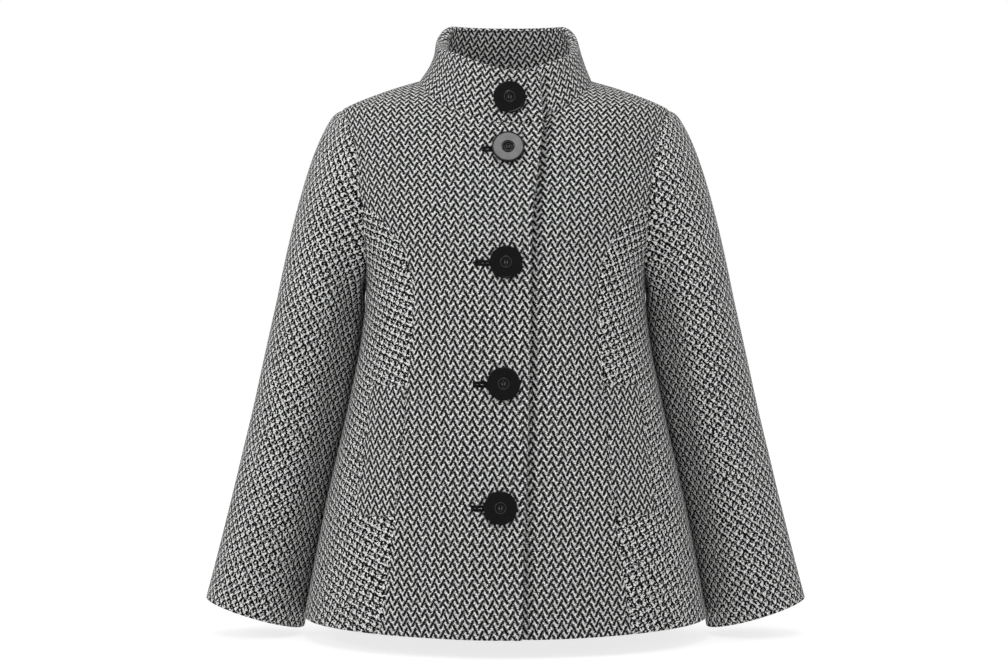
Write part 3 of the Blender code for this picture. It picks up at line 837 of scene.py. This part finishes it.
for side, word in SIDES:
    turns = np.linspace(-np.pi, np.pi, ARM_COLUMNS, endpoint=False)
    heights = ARMHOLE_CENTRE + ARMHOLE_HALF_HEIGHT * np.cos(turns)
    angles = np.array([armhole_angle(h, 1 if t >= 0 else -1) for h, t in zip(heights, turns)])
    cuff, top = SLEEVE[0].height, SLEEVE[-1].height
    arm = sleeve_ring(side, top, turns)
    drop = -HEAD_DROP - HEAD_TUCK * (1 - np.cos(turns))
    leave = unit(np.stack([np.full_like(turns, side), -HEAD_SPREAD * np.sin(turns), drop], -1))
    tilt = np.radians(sleeve_tilt(top))
    down = np.array([side * np.sin(tilt), 0, -np.cos(tilt)])
    seam = body_point(side, angles, heights) + SEAM * leave
    reach = np.linalg.norm(arm - seam, axis=1, keepdims=True)
    rings = [eased(t, seam, arm, HEAD_FULLNESS * reach * leave, reach * down) for t in HEAD_STEPS]
    straight = np.linspace(top, cuff + EDGE_STEPS[-1], ARM_ROWS)
    rings += [sleeve_ring(side, h, turns) for h in np.concatenate([straight, cuff + EDGE_STEPS[-2::-1]])]
    place = np.array(rings)[::-1]
    normal = grid_normals(place, closed=True)
    round_arm = lengths(np.concatenate([place, place[:, :1]], 1), 1)
    round_arm = round_arm - round_arm[:, ARM_COLUMNS // 2][:, None]
    up = lengths(place)
    from_head = up[-1] - up
    foot = np.array([side * SLEEVE[0].out, SLEEVE[0].back, cuff])
    axis = unit(np.array([side * SLEEVE[-1].out, SLEEVE[-1].back, top]) - foot)
    along = (place - foot) @ axis
    away = place - foot - along[..., None] * axis
    azimuth = np.arctan2(-away[..., 1], side * away[..., 0])
    azimuth = turns + (azimuth - turns + np.pi) % (2 * np.pi) - np.pi
    azimuth = np.concatenate([azimuth, azimuth[:, :1] + 2 * np.pi], 1)
    along = np.concatenate([along, along[:, :1]], 1)
    arm_end = len(place) - len(HEAD_STEPS) - 1
    rolled = round_arm.copy()
    rolled[arm_end:] = np.interp(azimuth[arm_end:], azimuth[arm_end], round_arm[arm_end])
    grain = turned_grain(-side * rolled, along, SLEEVE_TWIST[side])
    across = round_arm[:, :-1]
    lie = relief(across, up, SLEEVE_CREASES[side]) * grown(from_head, HEAD_HOLDS)
    ease = EASE_HEIGHT * np.sin(2 * np.pi * across / EASE_SPACING) * np.clip(np.cos(turns), 0, 1)
    lie = lie + ease * bell(from_head - EASE_FROM_SEAM, EASE_FADE)
    puff = np.clip(from_head / HEAD_PUFF_FADE, 0, None)
    lie = lie + HEAD_PUFF * puff * np.exp(1 - puff) * np.clip(np.cos(turns) + HEAD_PUFF_ROUND, 0, 1)
    outer = raised(place, normal, lie + folded_edge(up))
    inner = raised(place, normal, lie - CLOTH - HEM_EXTRA * grown(CUFF_TURN_UP - up, TURN_UP_FADE))
    piece = sew(f"sleeve_{word}_cloth", outer, inner, grain, drawn_tweed, closed=True)
    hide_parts(f"sleeve_{word}")


# Collar: a soft funnel that stands up from the neck seam, of the same cloth. Its upper edge rolls over to
# meet the facing inside, and its right end laps over the left one under the top button.
Rim = namedtuple("Rim", "angle rise_right rise_left roll_right roll_left")
COLLAR_EDGE = (
    Rim(-90, 66, 66, 2.7, 2.7),
    Rim(-35, 65, 65, 5.0, 4.0),
    Rim(0, 43, 42, 8.0, 6.0),
    Rim(45, 21, 15, 4.4, 3.8),
    Rim(90, -1.5, -4.5, 2.6, 2.6),
    Rim(130, -4.5, -6.5, 2.6, 2.6),
)
rise_right, rise_left, roll_right, roll_left = curves(COLLAR_EDGE)
COLLAR_HALF_WIDTH = 81.0
COLLAR_FRONT = 86.0
COLLAR_BACK = 66.0
COLLAR_SQUARENESS = 2.5
COLLAR_CENTRE = -4.0
COLLAR_LEAN = 1.5
COLLAR_BOW_RIGHT = 4.0
COLLAR_BOW_LEFT = 0.5
COLLAR_EASE = 1.15
COLLAR_BACK_COLUMNS = 48
COLLAR_GIRTH_ROW = 12
LAP_END_COLUMNS = 12
LAP_PRESSED_LESS = 0.7
UNDER_LAP = 0.5
ROLL_STEPS = 9
ROLL_HOLDS = 12.0
COLLAR_CREASES = (
    Crease(-120, 10, -96, 44, -1.2, 12),
    Crease(118, 6, 98, 40, -1.4, 11),
    Crease(-20, 20, 30, 30, -0.8, 14),
)


def neckline(side):
    """Points of a front's neckline from its free end, where they lie closer, to the shoulder seam."""
    heights = LEVELS[LEVELS >= NECK_FRONT]
    angles = np.array([front_start(side, h) for h in heights])
    points = lapped_point(side, angles, heights)
    share = np.arange(LAP_END_COLUMNS)[:, None] / LAP_END_COLUMNS
    return np.concatenate([points[0] + (points[2] - points[0]) * share, points[2:]])


def collar_grid(share):
    """Points of the collar from its left end, round the back, to its right end; share 0 is the neck seam."""
    back_angles = -np.linspace(SEAM / 2 / NECK_HALF_WIDTH, np.pi / 2, COLLAR_BACK_COLUMNS)
    back_half = [body_point(s, back_angles, back_neck_height(back_angles)) for s in (1, -1)]
    base = np.concatenate([neckline(1), back_half[0], back_half[1][-2::-1], neckline(-1)[::-1]])
    sides = np.where(np.arange(len(base)) < len(base) // 2, 1, -1)
    turn = np.arctan2(COLLAR_CENTRE - base[:, 1], sides * base[:, 0])
    degrees = np.degrees(turn)
    depth = np.where(np.sin(turn) > 0, COLLAR_FRONT, COLLAR_BACK)
    radius = oval(turn, COLLAR_HALF_WIDTH, depth, COLLAR_SQUARENESS)
    lapped = (sides < 0) & (np.sin(turn) > 0)
    radius = radius + LAP_RISE * ramp(base[:, 0], -LAP_STARTS, -LAP_FULL) * lapped
    out = COLLAR_LEAN + sides * radius * np.cos(turn)
    rim = np.where(sides > 0, rise_left(degrees), rise_right(degrees))
    top = np.stack([out, COLLAR_CENTRE - radius * np.sin(turn), rim], -1)
    base = base + SEAM * unit(top - base)
    share = share[:, None, None]
    inward = np.stack([-sides * np.cos(turn), np.sin(turn), np.zeros_like(turn)], -1)
    hollow = np.where(sides > 0, COLLAR_BOW_LEFT, COLLAR_BOW_RIGHT) * np.abs(np.cos(turn))
    bow = hollow[:, None] * np.sin(np.pi * share)
    roll = np.where(sides > 0, roll_left(degrees), roll_right(degrees))
    return base + share * (top - base) + bow * inward, turn, roll[:, None]


COLLAR_SHARE = np.concatenate([[0, 0.008, 0.02, 0.04], np.linspace(0.07, 1, 20)])
collar_place, collar_turn, collar_roll = collar_grid(COLLAR_SHARE)
collar_normal = grid_normals(collar_place)
collar_rise = unit(np.gradient(collar_place, axis=0))
round_neck = lengths(collar_place[COLLAR_GIRTH_ROW])
round_neck = round_neck.mean() - round_neck
tall = lengths(collar_place)
from_end = np.minimum(round_neck[0] - round_neck, round_neck - round_neck[-1])
across = np.repeat(round_neck[None], len(COLLAR_SHARE), 0)
lie = relief(across, tall, COLLAR_CREASES) * held(tall) * grown(tall[-1] - tall, ROLL_HOLDS)
past = np.clip(collar_place[..., 0] - collar_place[:, -1:, 0], 0, None)
under = (np.arange(len(round_neck)) < len(round_neck) // 2) & (np.sin(collar_turn) > UNDER_LAP)
pressed = LAP_PRESSED_CHEST * (1 - LAP_PRESSED_LESS * COLLAR_SHARE[:, None])
lie = lie - pressed * bell(past, LAP_SHADE) * under
lie = lie + LAP_CURL * bell(round_neck - round_neck[-1], LAP_CURL_WIDTH)
skin = lie + NECK_SEAM * seam_dip(tall) + folded_edge(from_end)[None]
outer = raised(collar_place, collar_normal, skin) - collar_roll * collar_rise * COLLAR_SHARE[:, None, None]
inner = outer - CLOTH * collar_normal
roll_outer, roll_inner, roll_grain = [], [], []
centre = outer[-1] - collar_roll * collar_normal[-1]
for bend in np.linspace(0, np.pi, ROLL_STEPS + 1)[1:]:
    way = np.cos(bend) * collar_normal[-1] + np.sin(bend) * collar_rise[-1]
    roll_outer.append(centre + collar_roll * way)
    roll_inner.append(centre + (collar_roll - CLOTH) * way)
    roll_grain.append(np.stack([round_neck, tall[-1] + collar_roll[:, 0] * bend], -1))
outer = np.concatenate([outer, roll_outer])
inner = np.concatenate([inner, roll_inner])
grain = np.concatenate([np.stack([across, tall], -1), roll_grain]) * (1, COLLAR_EASE)
collar = sew("collar_cloth", outer, inner, grain, chevron_tweed)
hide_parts("collar")


# Collar facing: the inner layer of the collar, of the same cloth, seen through the neck opening. It is sewn
# to the collar along the rolled edge and hangs free inside down to the neck seam.
FACING = 1.8
FACING_FROM_FRONT = 62.0
FACING_TUCK = 0.7
FACING_EASE = 1.2
FACING_RELIEF = 0.6
FACING_SHARE = np.linspace(0.04, 1, 24)
place, turn, roll = collar_grid(FACING_SHARE)
shown = np.degrees(turn) < FACING_FROM_FRONT
normal = grid_normals(place)
share = FACING_SHARE[:, None, None]
place = place - (roll + SEAM) * unit(np.gradient(place, axis=0)) * share
hung = (2 * roll - FACING - CLOTH - FACING_TUCK) * share**2
place = place - np.clip(hung, 0, None) * normal
place, normal = place[:, shown], normal[:, shown]
up = lengths(place)
from_roll = up[-1] - up
across = np.repeat(-round_neck[shown][None], len(FACING_SHARE), 0)
lie = FACING_RELIEF * relief(across, up, COLLAR_CREASES) * grown(from_roll, ROLL_HOLDS)
hidden = place - (CLOTH + SEAM) * normal
face = raised(hidden, normal, -(FACING + lie + seam_dip(from_roll)))
grain = np.stack([across, FACING_EASE * up], -1)
facing = sew("collar_facing_cloth", face, hidden, grain, chevron_tweed)
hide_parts("collar_facing")


# Pocket welts: slanted bands of the same cloth, doubled and pressed, laid on the side fronts along the
# princess seam. Their outer edges are held down by small hand pick stitches in black thread.
WELT_TOP = -351.0
WELT_BOTTOM = -493.0
WELT_WIDTH = 56.0
WELT_FROM_SEAM = 1.0
WELT_RISE = 1.6
WELT_ROWS = 34
WELT_COLUMNS = 16
PICK_SPACING = 6.0
PICK_INSET = 5.0
PICK_DEPTH = 0.5
PICK_DIMPLE = 2.2
PICK_PROUD = 0.1
Stitch = namedtuple("Stitch", "length width height")
PICK = Stitch(2.4, 0.9, 0.7)
STITCH_SIDES = 8
STITCH_RINGS = 6
TWIST_SCALE = 260.0
TWIST_UNEVEN = 1.5
RIDGE_BUMP = 0.4
RIDGE_HEIGHT = 0.0001
# Plied thread, twisted at about 2.4 mm a turn: slanting ridges that catch a little light, and a faint
# painted highlight, the colour lighter along the ridges.
thread_black, tree, shader = new_material("Spun polyester thread, black")
place = put(tree, "ShaderNodeTexCoord", out=3)
twist = put(
    tree, "ShaderNodeTexWave", place, TWIST_SCALE, TWIST_UNEVEN, to=("Vector", "Scale", "Distortion"), out=1,
    bands_direction="DIAGONAL",
)
# Painted highlight: the colour follows the twist, lighter where the ridges stand.
feed(tree, shader, {
    "Base Color": mix_colours(tree, twist, "#040404", "#0e0e0f"),
    "Normal": bumps(tree, twist, RIDGE_BUMP, RIDGE_HEIGHT),
    "Roughness": 0.7,
    "Specular IOR Level": 0.08,
})

# One tree lays every stitch: a thin, rounded strand on each point, turned along the point's own directions.
stitches = bpy.data.node_groups.new("Stitches", "GeometryNodeTree")
for title, kind, way in (
    ("Points", "NodeSocketGeometry", "INPUT"),
    ("Length", "NodeSocketFloat", "INPUT"),
    ("Width", "NodeSocketFloat", "INPUT"),
    ("Height", "NodeSocketFloat", "INPUT"),
    ("Thread", "NodeSocketMaterial", "INPUT"),
    ("Sewn", "NodeSocketGeometry", "OUTPUT"),
):
    stitches.interface.new_socket(title, in_out=way, socket_type=kind)
entry = stitches.nodes.new("NodeGroupInput").outputs
out_way, lay_way = (
    put(stitches, "GeometryNodeInputNamedAttribute", title, data_type="FLOAT_VECTOR")
    for title in ("out", "lay")
)
stand = put(stitches, "FunctionNodeAlignRotationToVector", out_way, to=("Vector",), axis="Z")
stand = put(
    stitches, "FunctionNodeAlignRotationToVector", stand, lay_way, to=("Rotation", "Vector"), axis="X",
    pivot_axis="Z",
)
parts = ("Segments", "Rings", "Radius")
strand = put(stitches, "GeometryNodeMeshUVSphere", STITCH_SIDES, STITCH_RINGS, 0.5, to=parts)
size = put(stitches, "ShaderNodeCombineXYZ", entry["Length"], entry["Width"], entry["Height"])
laid = put(
    stitches, "GeometryNodeInstanceOnPoints", entry["Points"], strand, stand, size,
    to=("Points", "Instance", "Rotation", "Scale"),
)
laid = put(stitches, "GeometryNodeRealizeInstances", laid)
laid = put(stitches, "GeometryNodeSetShadeSmooth", laid)
laid = put(stitches, "GeometryNodeSetMaterial", laid, entry["Thread"], to=("Geometry", "Material"))
put(stitches, "NodeGroupOutput", laid)


def sew_stitches(name, places, stitch, thread):
    """Lays a stitch on each place, a point with its out and lay directions, all as one plain piece."""
    points, outs, lays = np.array(places, float).transpose(1, 0, 2)
    mesh = bpy.data.meshes.new(name)
    mesh.from_pydata((points * MM).tolist(), [], [])
    for title, ways in (("out", outs), ("lay", lays)):
        mesh.attributes.new(title, "FLOAT_VECTOR", "POINT").data.foreach_set("vector", ways.ravel())
    row = hang(name + "_points", mesh)
    modifier = row.modifiers.new("Stitches", "NODES")
    modifier.node_group = stitches
    wanted = {title.capitalize(): size * MM for title, size in stitch._asdict().items()}
    wanted["Thread"] = thread
    for item in stitches.interface.items_tree:
        if item.name in wanted:
            modifier[item.identifier] = wanted[item.name]
    ready = row.evaluated_get(bpy.context.evaluated_depsgraph_get())
    sewn = bpy.data.meshes.new_from_object(ready)
    bpy.data.objects.remove(row, do_unlink=True)
    return dress(name, sewn, thread)


def welt_start(height):
    return princess_angle(height) - WELT_FROM_SEAM / half_width(height)


def welt_end(height):
    fine = np.linspace(welt_start(height), 0, FINE_STEPS)
    return np.interp(WELT_WIDTH, lengths(body_point(1, fine, height)), fine)


for side, word in SIDES:
    heights = WELT_BOTTOM + close_at_ends(WELT_TOP - WELT_BOTTOM, WELT_ROWS)
    grid = side_front_grid(side, heights, welt_start, welt_end, WELT_COLUMNS)
    place, normal, level, begin, finish, seam, up, lie = grid
    edge = np.min([begin, finish, level - WELT_BOTTOM, WELT_TOP - level], 0)
    picks = np.arange(WELT_BOTTOM + PICK_INSET, WELT_TOP - PICK_INSET, PICK_SPACING)
    from_pick = np.min(np.hypot(level[..., None] - picks, finish[..., None] - PICK_INSET), -1)
    skin = lie + SEAM + WELT_RISE + folded_edge(edge, WELT_RISE) - PICK_DEPTH * bell(from_pick, PICK_DIMPLE)
    outer = raised(place, normal, skin)
    inner = raised(place, normal, lie + SEAM)
    piece = sew(f"welt_{word}_cloth", outer, inner, np.stack([side * seam, up], -1), chevron_tweed)
    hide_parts(f"welt_{word}")
    places = []
    for height in picks:
        row = np.argmin(np.abs(heights - height))
        col = np.argmin(np.abs(finish[row] - PICK_INSET))
        out = normal[row, col]
        places.append((outer[row, col] + PICK_PROUD * out, out, outer[row + 1, col] - outer[row, col]))
    sew_stitches(f"welt_{word}_pick_stitches", places, PICK, thread_black)


# Buttonholes: horizontal slits in the lapping front, whipped round with close stitches of heavy black thread
# and closed by a bar at the inner end. Each shows beside its button; the slit itself is only a fine line.
Buttonhole = namedtuple("Buttonhole", "height outer_end inner_end")
BUTTONHOLES = (
    Buttonhole(-93.5, 0.0, -25.0),
    Buttonhole(-218.5, 0.0, -32.5),
    Buttonhole(-349.5, -2.0, -34.5),
    Buttonhole(-482, -5.0, -36.5),
)
WHIP = Stitch(3.7, 0.95, 1.0)
WHIP_SPACING = 0.7
WHIP_FROM_SLIT = 1.8
WHIP_SLANT = 0.12
WHIP_PROUD = 0.15
BAR_STITCHES = 13


def axes_facing(normal):
    """Three directions, as columns: level to the right, upward, and the way that something faces."""
    right = unit(np.cross([0, 0, 1.0], normal))
    return np.stack([right, np.cross(normal, right), normal], 1)


def on_front(out, height):
    """The point of the lapping front's cloth at a place in front view, and its three directions."""
    turn = np.array([[angle_at_reach(height, -out)]])
    level = np.array([float(height)])
    normal = body_normal(-1, turn, level)
    sink = front_lie(-1, turn, level)[2]
    return raised(lapped_point(-1, turn, level), normal, sink)[0, 0], *axes_facing(normal[0, 0]).T


places = []
for hole in BUTTONHOLES:
    for out in np.arange(hole.inner_end, hole.outer_end, WHIP_SPACING):
        point, right, upward, normal = on_front(out, hole.height)
        for way in (1, -1):
            spot = point + way * WHIP_FROM_SLIT * upward + WHIP_PROUD * normal
            places.append((spot, normal, upward - WHIP_SLANT * right))
    point, right, upward, normal = on_front(hole.inner_end, hole.height)
    for bend in np.radians(np.linspace(-90, 90, BAR_STITCHES)):
        way = np.cos(bend) * right + np.sin(bend) * upward
        places.append((point + way * WHIP_FROM_SLIT + WHIP_PROUD * normal, normal, way))
sew_stitches("buttonhole_stitches", places, WHIP, thread_black)


# Buttons: five large turned discs of polished black plastic with a thin raised rim, a flat face and a sunk,
# ringed middle with four holes, sewn on with several strands of dark grey thread.
Button = namedtuple("Button", "height out")
BUTTONS = (
    Button(-34, 4.4),
    Button(-92, 2.8),
    Button(-218, 0.5),
    Button(-349, -2.1),
    Button(-481.5, -5.3),
)
Turned = namedtuple("Turned", "radius height")
BUTTON_PROFILE = (
    Turned(16.4, 0.0),
    Turned(17.2, 0.5),
    Turned(17.75, 1.6),
    Turned(18.0, 2.9),
    Turned(17.95, 3.5),
    Turned(17.75, 3.95),
    Turned(17.4, 4.2),
    Turned(17.05, 4.27),
    Turned(16.75, 4.2),
    Turned(16.45, 4.12),
    Turned(15.9, 4.1),
    Turned(7.4, 4.1),
    Turned(6.35, 4.1),
    Turned(6.15, 4.32),
    Turned(5.75, 4.42),
    Turned(5.4, 4.26),
    Turned(5.1, 3.7),
    Turned(4.9, 3.2),
    Turned(4.6, 2.95),
    Turned(3.9, 2.72),
    Turned(3.62, 2.83),
    Turned(3.4, 2.9),
    Turned(3.18, 2.76),
    Turned(2.9, 2.45),
    Turned(1.5, 1.9),
    Turned(0.3, 1.5),
)
BUTTON_SIDES = 72
HOLE_OUT = 1.45
HOLE_RADIUS = 0.85
HOLE_SIDES = 20
HOLE_HEIGHT = 2.5
HOLE_DEPTH = 2.4
# Painted highlight: a grey tone laid along the crests of the turned rings, at these radii and strengths.
PaintedHighlight = namedtuple("PaintedHighlight", "radius share")
PAINTED_HIGHLIGHT_CRESTS = (PaintedHighlight(5.75, 1.0), PaintedHighlight(3.4, 0.5))
PAINTED_HIGHLIGHT_WIDTH = 0.3
PAINTED_HIGHLIGHT_ABOVE = 2.8
STRAND = Stitch(3.8, 0.6, 0.8)
STRAND_APART = 0.42
STRAND_SHIFT = 0.1
STRAND_HEIGHT = 2.95
STRAND_OVER = 0.12
STRAND_SLANT = 0.12
SMEAR_SCALE = 180.0
SMEAR_RANGE = (0.3, 0.7)
RESIN_ROUGHNESS = (0.09, 0.15)
# Turned and tumbled resin: deep black, a soft gloss, with faint smears that break up its highlights, and
# a painted highlight: a greyer tone along the crests of its turned rings, standing in for lamp reflections.
button_plastic, tree, shader = new_material("Polished black polyester resin, turned")
smear = noise(tree, put(tree, "ShaderNodeTexCoord", out=3), SMEAR_SCALE, detail=3.0)
painted_highlight = put(tree, "ShaderNodeAttribute", attribute_name="painted_highlight", out=2)
# Painted highlight: the base colour turns grey along the ring crests, where the lamps' reflections would
# fall.
feed(tree, shader, {
    "Base Color": mix_colours(tree, painted_highlight, mix_colours(tree, smear, "#050506", "#0c0c0d"), "#38383a"),
    "Roughness": put(tree, "ShaderNodeMapRange", smear, *SMEAR_RANGE, *RESIN_ROUGHNESS),
    "IOR": 1.5,
    "Specular IOR Level": 0.08,
})
# The same plied thread in dark grey, with a stronger painted highlight: lighter along its ridges.
thread_grey = thread_black.copy()
thread_grey.name = "Spun polyester thread, dark grey"
for node in thread_grey.node_tree.nodes:
    if node.bl_idname == "ShaderNodeMix":
        feed(thread_grey.node_tree, node, {6: linear("#0e0e0f"), 7: linear("#6a6a6c")})


def turned_button():
    """A button lying flat at the origin, facing up."""
    bm = bmesh.new()
    rings = []
    for step in BUTTON_PROFILE:
        ring = []
        for turn in np.linspace(0, 2 * np.pi, BUTTON_SIDES, endpoint=False):
            ring.append(bm.verts.new((step.radius * np.cos(turn), step.radius * np.sin(turn), step.height)))
        rings.append(ring)
    for low, high in zip(rings, rings[1:]):
        for j in range(BUTTON_SIDES):
            k = (j + 1) % BUTTON_SIDES
            bm.faces.new((low[j], low[k], high[k], high[j]))
    bm.faces.new(rings[0][::-1])
    bm.faces.new(rings[-1])
    blank = hang("turned_button", bpy.data.meshes.new("turned_button"))
    bm.to_mesh(blank.data)
    bm.clear()
    for x, y in ((1, 1), (-1, 1), (-1, -1), (1, -1)):
        spot = Matrix.Translation((x * HOLE_OUT, y * HOLE_OUT, HOLE_HEIGHT))
        bmesh.ops.create_cone(
            bm, cap_ends=True, segments=HOLE_SIDES, radius1=HOLE_RADIUS, radius2=HOLE_RADIUS,
            depth=HOLE_DEPTH, matrix=spot,
        )
    drill = hang("drill", bpy.data.meshes.new("drill"))
    bm.to_mesh(drill.data)
    bm.free()
    cut = blank.modifiers.new("holes", "BOOLEAN")
    cut.operation = "DIFFERENCE"
    cut.solver = "EXACT"
    cut.object = drill
    drilled = bpy.data.meshes.new_from_object(blank.evaluated_get(bpy.context.evaluated_depsgraph_get()))
    for scrap in (blank, drill):
        bpy.data.objects.remove(scrap, do_unlink=True)
    spots = np.array([vertex.co for vertex in drilled.vertices])
    away = np.hypot(spots[:, 0], spots[:, 1])
    # Painted highlight: how strongly each point of the face is greyed along the ring crests.
    crest = sum(c.share * bell(away - c.radius, PAINTED_HIGHLIGHT_WIDTH) for c in PAINTED_HIGHLIGHT_CRESTS)
    crest = crest * (spots[:, 2] > PAINTED_HIGHLIGHT_ABOVE)
    drilled.attributes.new("painted_highlight", "FLOAT", "POINT").data.foreach_set("value", crest)
    return drilled


def collar_seat(button):
    """The point of the collar's lapping end under a button, and the way it faces."""
    half = collar_place.shape[1] // 2
    first = half + np.argmin(collar_place[0, half:, 0])
    seats = []
    for row, face in zip(collar_place[:, first:], collar_normal[:, first:]):
        both = np.concatenate([row, face], 1)
        seats.append([np.interp(button.out, row[:, 0], value) for value in both.T])
    seats = np.array(seats)
    found = np.array([np.interp(button.height, seats[:, 2], value) for value in seats.T])
    return found[:3], unit(found[3:])


blank = turned_button()
places = []
for number, button in enumerate(BUTTONS, 1):
    if button.height > NECK_FRONT:
        seat, normal = collar_seat(button)
    else:
        angle = angle_at_reach(button.height, -button.out)
        seat = lapped_point(-1, angle, button.height)
        normal = body_normal(-1, angle, button.height)
    axes = axes_facing(normal)
    seat = seat + SEAM * normal
    mesh = blank.copy()
    flat = np.empty(len(mesh.vertices) * 3)
    mesh.vertices.foreach_get("co", flat)
    mesh.vertices.foreach_set("co", ((flat.reshape(-1, 3) @ axes.T + seat) * MM).ravel())
    mesh.update()
    piece = dress(f"button_{number}_turned", mesh, button_plastic)
    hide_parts(f"button_{number}")
    for across in (-1, 1):
        for strand in (-1, 0, 1):
            height = STRAND_HEIGHT + STRAND_OVER * (strand == 0)
            spot = np.array([across * HOLE_OUT + STRAND_APART * strand, STRAND_SHIFT * strand, height])
            lay = axes[:, 1] + STRAND_SLANT * across * strand * axes[:, 0]
            places.append((axes @ spot + seat, normal, lay))
sew_stitches("button_threads", places, STRAND, thread_grey)


# Studio: a plain white floor just under the cuffs and even white light from all round, with a broad soft
# light above, one to the left and a softbox high in front. The camera stands level with the coat's middle.
FLOOR_HALF = 30.0
FLOOR_HEIGHT = -0.643
floor_mesh = bpy.data.meshes.new("floor")
corners = [(x * FLOOR_HALF, y * FLOOR_HALF, FLOOR_HEIGHT) for x, y in ((-1, -1), (1, -1), (1, 1), (-1, 1))]
floor_mesh.from_pydata(corners, [], [(0, 1, 2, 3)])
floor = hang("floor", floor_mesh)
# Matt white paint that glows a little, so that the floor stays as pale as the light around it.
paint, tree, shader = new_material("Matt white studio floor")
feed(tree, shader, {
    "Base Color": linear("#898989"),
    "Emission Color": linear("#ffffff"),
    "Emission Strength": 0.78,
    "Roughness": 0.9,
    "Specular IOR Level": 0.0,
})
floor_mesh.materials.append(paint)

world = bpy.data.worlds.new("White studio")
world.use_nodes = True
feed(world.node_tree, world.node_tree.nodes["Background"], {"Color": linear("#ffffff"), "Strength": 1.0})
bpy.context.scene.world = world

Lamp = namedtuple("Lamp", "name place aim size_across size_up power")
for lamp in (
    Lamp("overhead", (0.0, -0.6, 2.4), (0.0, -0.1, -0.3), 2.6, 2.2, 20.0),
    Lamp("key", (-1.9, -1.5, 0.9), (0.0, -0.15, -0.3), 0.5, 0.5, 16.0),
    Lamp("softbox", (0.0, -1.8, 1.3), (0.0, -0.13, -0.09), 0.5, 0.25, 14.0),
):
    light = bpy.data.lights.new(lamp.name, "AREA")
    light.shape = "RECTANGLE"
    light.size = lamp.size_across
    light.size_y = lamp.size_up
    light.energy = lamp.power
    axes = axes_facing(unit(np.array(lamp.place) - np.array(lamp.aim)))
    hang(lamp.name, light).matrix_world = Matrix.Translation(lamp.place) @ Matrix(axes.tolist()).to_4x4()

camera_data = bpy.data.cameras.new("camera")
camera_data.sensor_width = 36.0
camera_data.lens = 74.5
camera = hang("camera", camera_data)
camera.location = (-0.0017, -2.4, -0.297)
camera.rotation_euler = (np.pi / 2, 0.0, 0.0)
bpy.context.scene.camera = camera
bpy.context.scene.view_settings.view_transform = "Standard"
bpy.context.scene.view_settings.look = "None"
